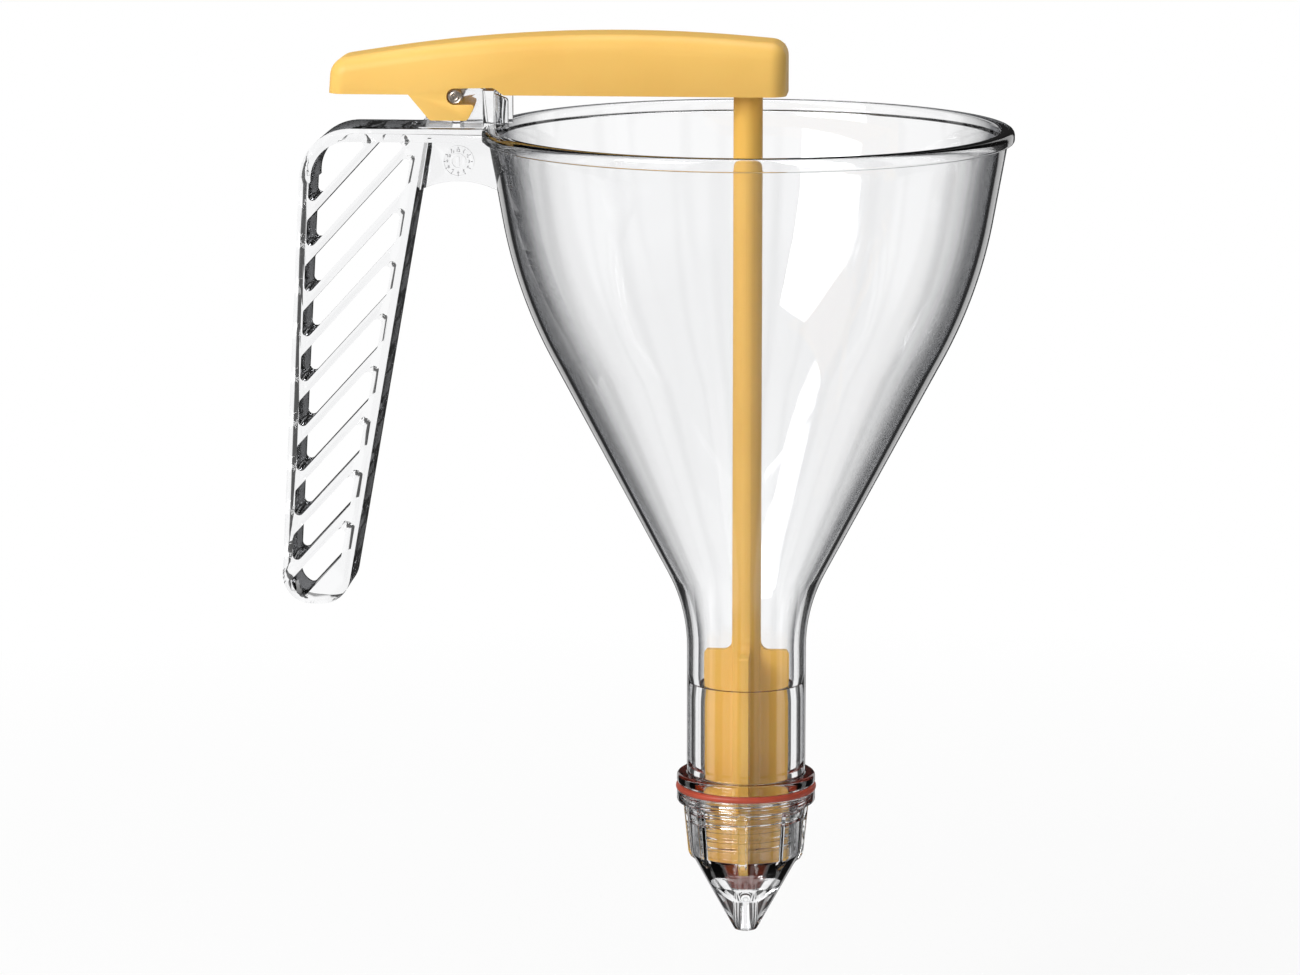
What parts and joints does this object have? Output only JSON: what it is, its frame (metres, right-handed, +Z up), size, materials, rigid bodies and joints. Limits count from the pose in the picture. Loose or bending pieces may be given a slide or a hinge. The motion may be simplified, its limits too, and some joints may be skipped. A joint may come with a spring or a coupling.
{
  "type": "batter dispenser",
  "caption": "Clear hand-held funnel with a lattice grip, a squeeze lever that lifts a plunger off its seat, and a screw-on pouring nozzle.",
  "frame": {"origin": "centre of the outlet bore at the nozzle's lower face", "axes": "+Z up along the funnel's axis, +X away from the handle, +Y across the grip"},
  "size_m": [0.2003, 0.145, 0.2508],
  "materials": {
    "clear_plastic": "clear injection-moulded plastic, polished",
    "amber_plastic": "amber moulded plastic, lightly cloudy, glossy",
    "pin_steel": "turned stainless steel",
    "stopper_silicone": "soft silicone, satin",
    "seal_silicone": "silicone ring, satin"
  },
  "bodies": {
    "frame": {"funnel": "clear_plastic", "handle": "clear_plastic", "pivot_pin": "pin_steel"},
    "lever": {"lever": "amber_plastic"},
    "plunger": {"plunger": "amber_plastic", "stopper": "stopper_silicone"},
    "seal_ring": {"nozzle_seal": "seal_silicone"},
    "nozzle": {"nozzle": "clear_plastic"}
  },
  "joints": [
    {"name": "lever_hinge", "type": "hinge", "parent": "frame", "child": "lever", "pos_m": [-0.0792, 0, 0.2338], "axis": [0, -1, 0], "range_deg": [0, 14]},
    {"name": "plunger_lift", "type": "slide", "parent": "frame", "child": "plunger", "axis": [0, 0, 1], "range_m": [0, 0.02]},
    {"name": "nozzle_travel", "type": "slide", "parent": "frame", "child": "seal_ring", "axis": [0, 0, -1], "range_m": [0, 0.01105]},
    {"name": "nozzle_twist", "type": "hinge", "parent": "seal_ring", "child": "nozzle", "pos_m": [0, 0, 0.03], "axis": [0, 0, -1], "range_deg": [0, 1440]}
  ],
  "couplings": [
    {"joint": "plunger_lift", "follows": "lever_hinge", "m_per_rad": 0.0811},
    {"joint": "nozzle_travel", "follows": "nozzle_twist", "m_per_rad": 0.00043768}
  ]
}
